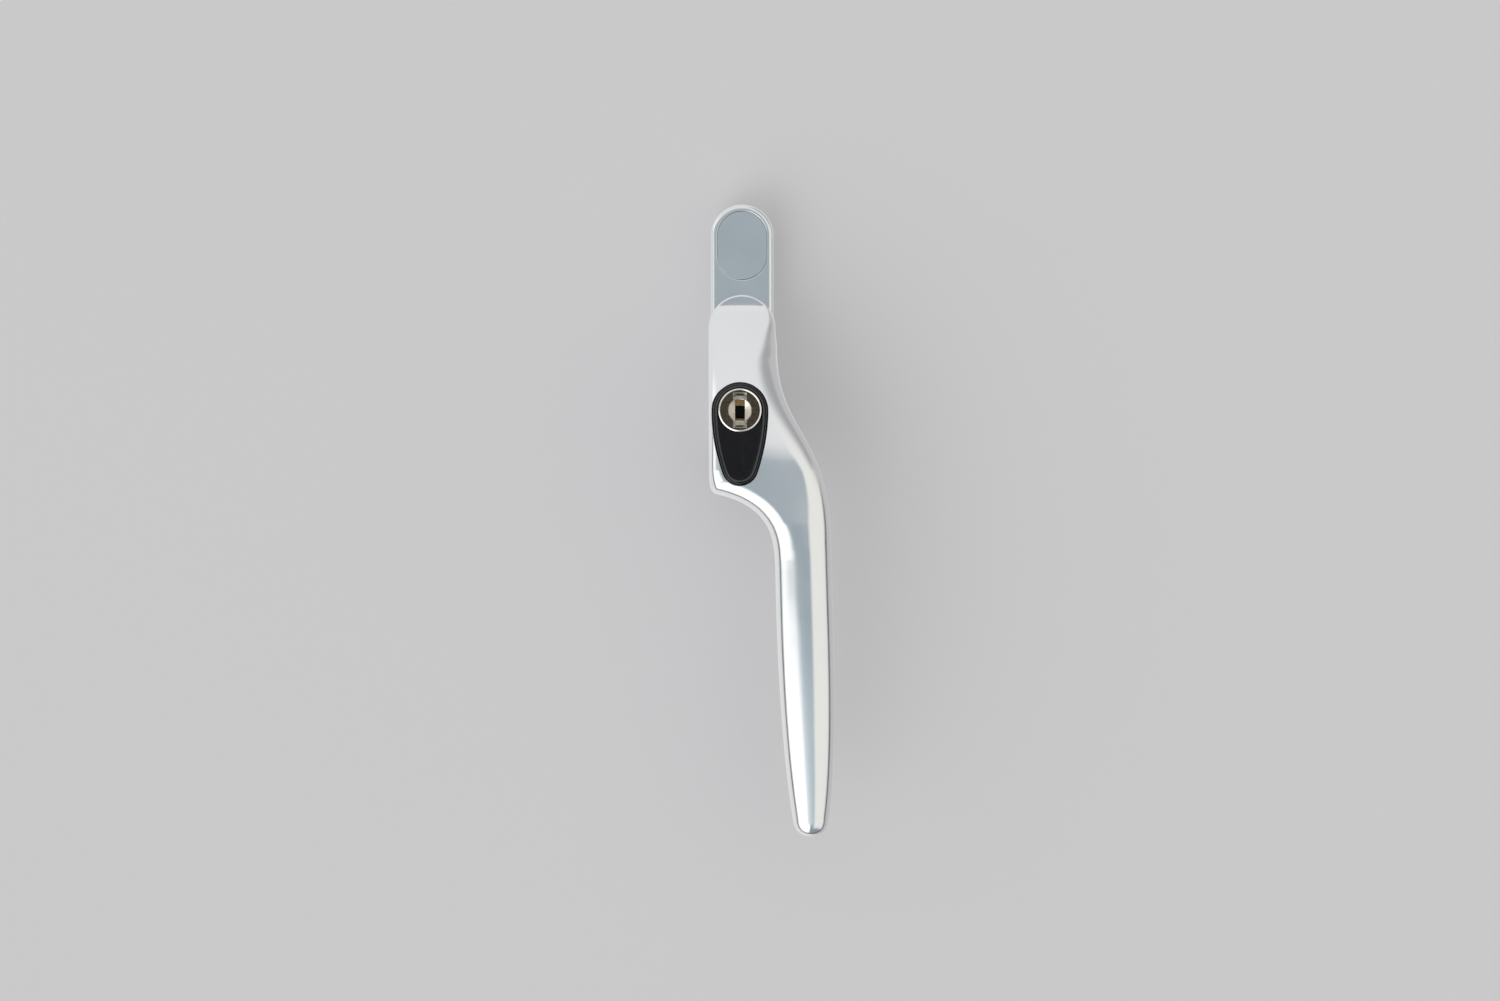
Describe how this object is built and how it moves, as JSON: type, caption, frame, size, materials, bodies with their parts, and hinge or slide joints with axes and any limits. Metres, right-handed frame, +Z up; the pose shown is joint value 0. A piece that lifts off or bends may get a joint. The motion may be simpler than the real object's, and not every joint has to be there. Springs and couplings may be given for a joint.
{
  "type": "lockable window handle",
  "caption": "Cranked window handle on a slim base plate, with a teardrop push button and key cylinder that lock it, and a square spindle that turns the gearbox.",
  "frame": {"origin": "on the spindle axis, at the back face of the base plate, which rests on the sash", "axes": "+Z up the window along the base plate, the front faces -Y into the room, +Y into the sash, +X to the right seen from the front"},
  "size_m": [0.0321, 0.066, 0.1622],
  "materials": {
    "satin_chrome": "satin chrome on a zinc die casting",
    "cap_chrome": "satin chrome, slightly darker than the plate",
    "zinc_steel": "bright zinc plated",
    "spring_steel": "drawn wire, oiled",
    "nickel": "satin nickel, dull",
    "brass": "stamped, unpolished",
    "black_plastic": "moulded, low sheen",
    "nylon": "natural nylon"
  },
  "bodies": {
    "base": {"base_plate": "satin_chrome", "screw_cap": "cap_chrome", "fixing_screws": "zinc_steel", "bearing_bush": "nylon", "thrust_washer": "zinc_steel"},
    "handle": {"handle_lever": "satin_chrome", "spindle": "zinc_steel", "spindle_pin": "zinc_steel", "retaining_clip": "spring_steel", "wave_washer": "spring_steel", "button_stop_pin": "zinc_steel", "button_spring": "spring_steel"},
    "button": {"lock_button": "black_plastic", "lock_cylinder": "nickel", "lock_bolt": "zinc_steel", "latch_spring": "spring_steel"},
    "plug": {"key_plug": "nickel", "wafer_tumblers": "brass", "wafer_springs": "spring_steel", "plug_clip": "spring_steel"},
    "latch": {"latch": "zinc_steel"}
  },
  "joints": [
    {"name": "handle_turn", "type": "hinge", "parent": "base", "child": "handle", "pos_m": [0, 0, 0], "axis": [0, -1, 0], "range_deg": [0, 90]},
    {"name": "button_press", "type": "slide", "parent": "handle", "child": "button", "axis": [0, 1, 0], "range_m": [0, 0.0026], "stiffness_N_per_m": 1500, "springref_m": -0.003, "deforming": ["button_spring"]},
    {"name": "plug_turn", "type": "hinge", "parent": "button", "child": "plug", "pos_m": [-0.0005, 0, -0.0217], "axis": [0, 1, 0], "range_deg": [0, 90]},
    {"name": "latch_slide", "type": "slide", "parent": "button", "child": "latch", "axis": [-1, 0, 0], "range_m": [0, 0.001], "stiffness_N_per_m": 100, "springref_m": -0.003, "deforming": ["latch_spring"]}
  ],
  "couplings": [
    {"joint": "plug_turn", "follows": "latch_slide", "rad_per_m": 1570.8}
  ]
}
